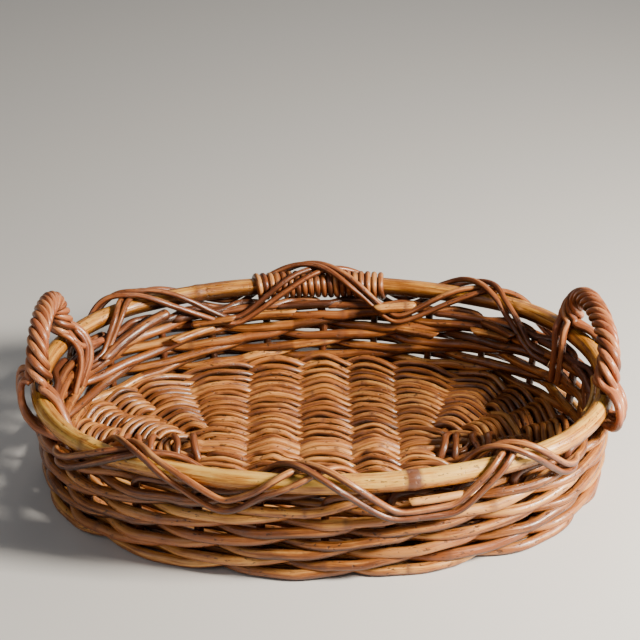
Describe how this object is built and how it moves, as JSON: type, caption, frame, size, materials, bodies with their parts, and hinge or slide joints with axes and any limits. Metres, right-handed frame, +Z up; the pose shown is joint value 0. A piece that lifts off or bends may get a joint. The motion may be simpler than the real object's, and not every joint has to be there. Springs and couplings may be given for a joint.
{
  "type": "woven fruit basket",
  "caption": "Shallow oval basket of woven cane with a round hoop rim, laced scallops over the rim and a twisted rope handle at each end.",
  "frame": {"origin": "on the table under the middle of the basket", "axes": "+Z up, +X along the length to the right handle, -Y to the front"},
  "size_m": [0.519, 0.3914, 0.1633],
  "materials": {
    "hoop_cane": "peeled cane, smooth, satin varnish",
    "wall_cane": "peeled cane, satin varnish",
    "stake_cane": "dark cane, satin varnish",
    "lacing_cane": "red-brown cane, satin varnish",
    "handle_cane": "red-brown cane, satin varnish",
    "floor_stick": "peeled cane, satin varnish",
    "floor_cane": "peeled cane, satin varnish"
  },
  "bodies": {
    "root": {"rim_hoop": "hoop_cane", "rim_binding": "lacing_cane", "rim_splint": "hoop_cane", "wale_1": "wall_cane", "wale_2": "wall_cane", "wale_3": "wall_cane", "wale_4": "wall_cane", "wale_5": "wall_cane", "wale_6": "wall_cane", "wale_7": "wall_cane", "stakes_right": "stake_cane", "stakes_back": "stake_cane", "stakes_left": "stake_cane", "stakes_front": "stake_cane", "base_cross_sticks": "floor_stick", "base_long_sticks": "floor_stick", "base_end_sticks_left": "floor_stick", "base_end_sticks_right": "floor_stick", "floor_weave_upper": "floor_cane", "floor_weave_lower": "floor_cane", "lacing_front_left": "lacing_cane", "lacing_front_middle": "lacing_cane", "lacing_front_right": "lacing_cane", "lacing_back_left": "lacing_cane", "lacing_back_middle": "lacing_cane", "lacing_back_right": "lacing_cane", "handle_left_core": "stake_cane", "handle_left_strand_1": "handle_cane", "handle_left_strand_2": "handle_cane", "handle_left_strand_3": "handle_cane", "handle_left_strand_4": "handle_cane", "handle_left_strand_5": "handle_cane", "handle_right_core": "stake_cane", "handle_right_strand_1": "handle_cane", "handle_right_strand_2": "handle_cane", "handle_right_strand_3": "handle_cane", "handle_right_strand_4": "handle_cane", "handle_right_strand_5": "handle_cane"}
  },
  "joints": []
}
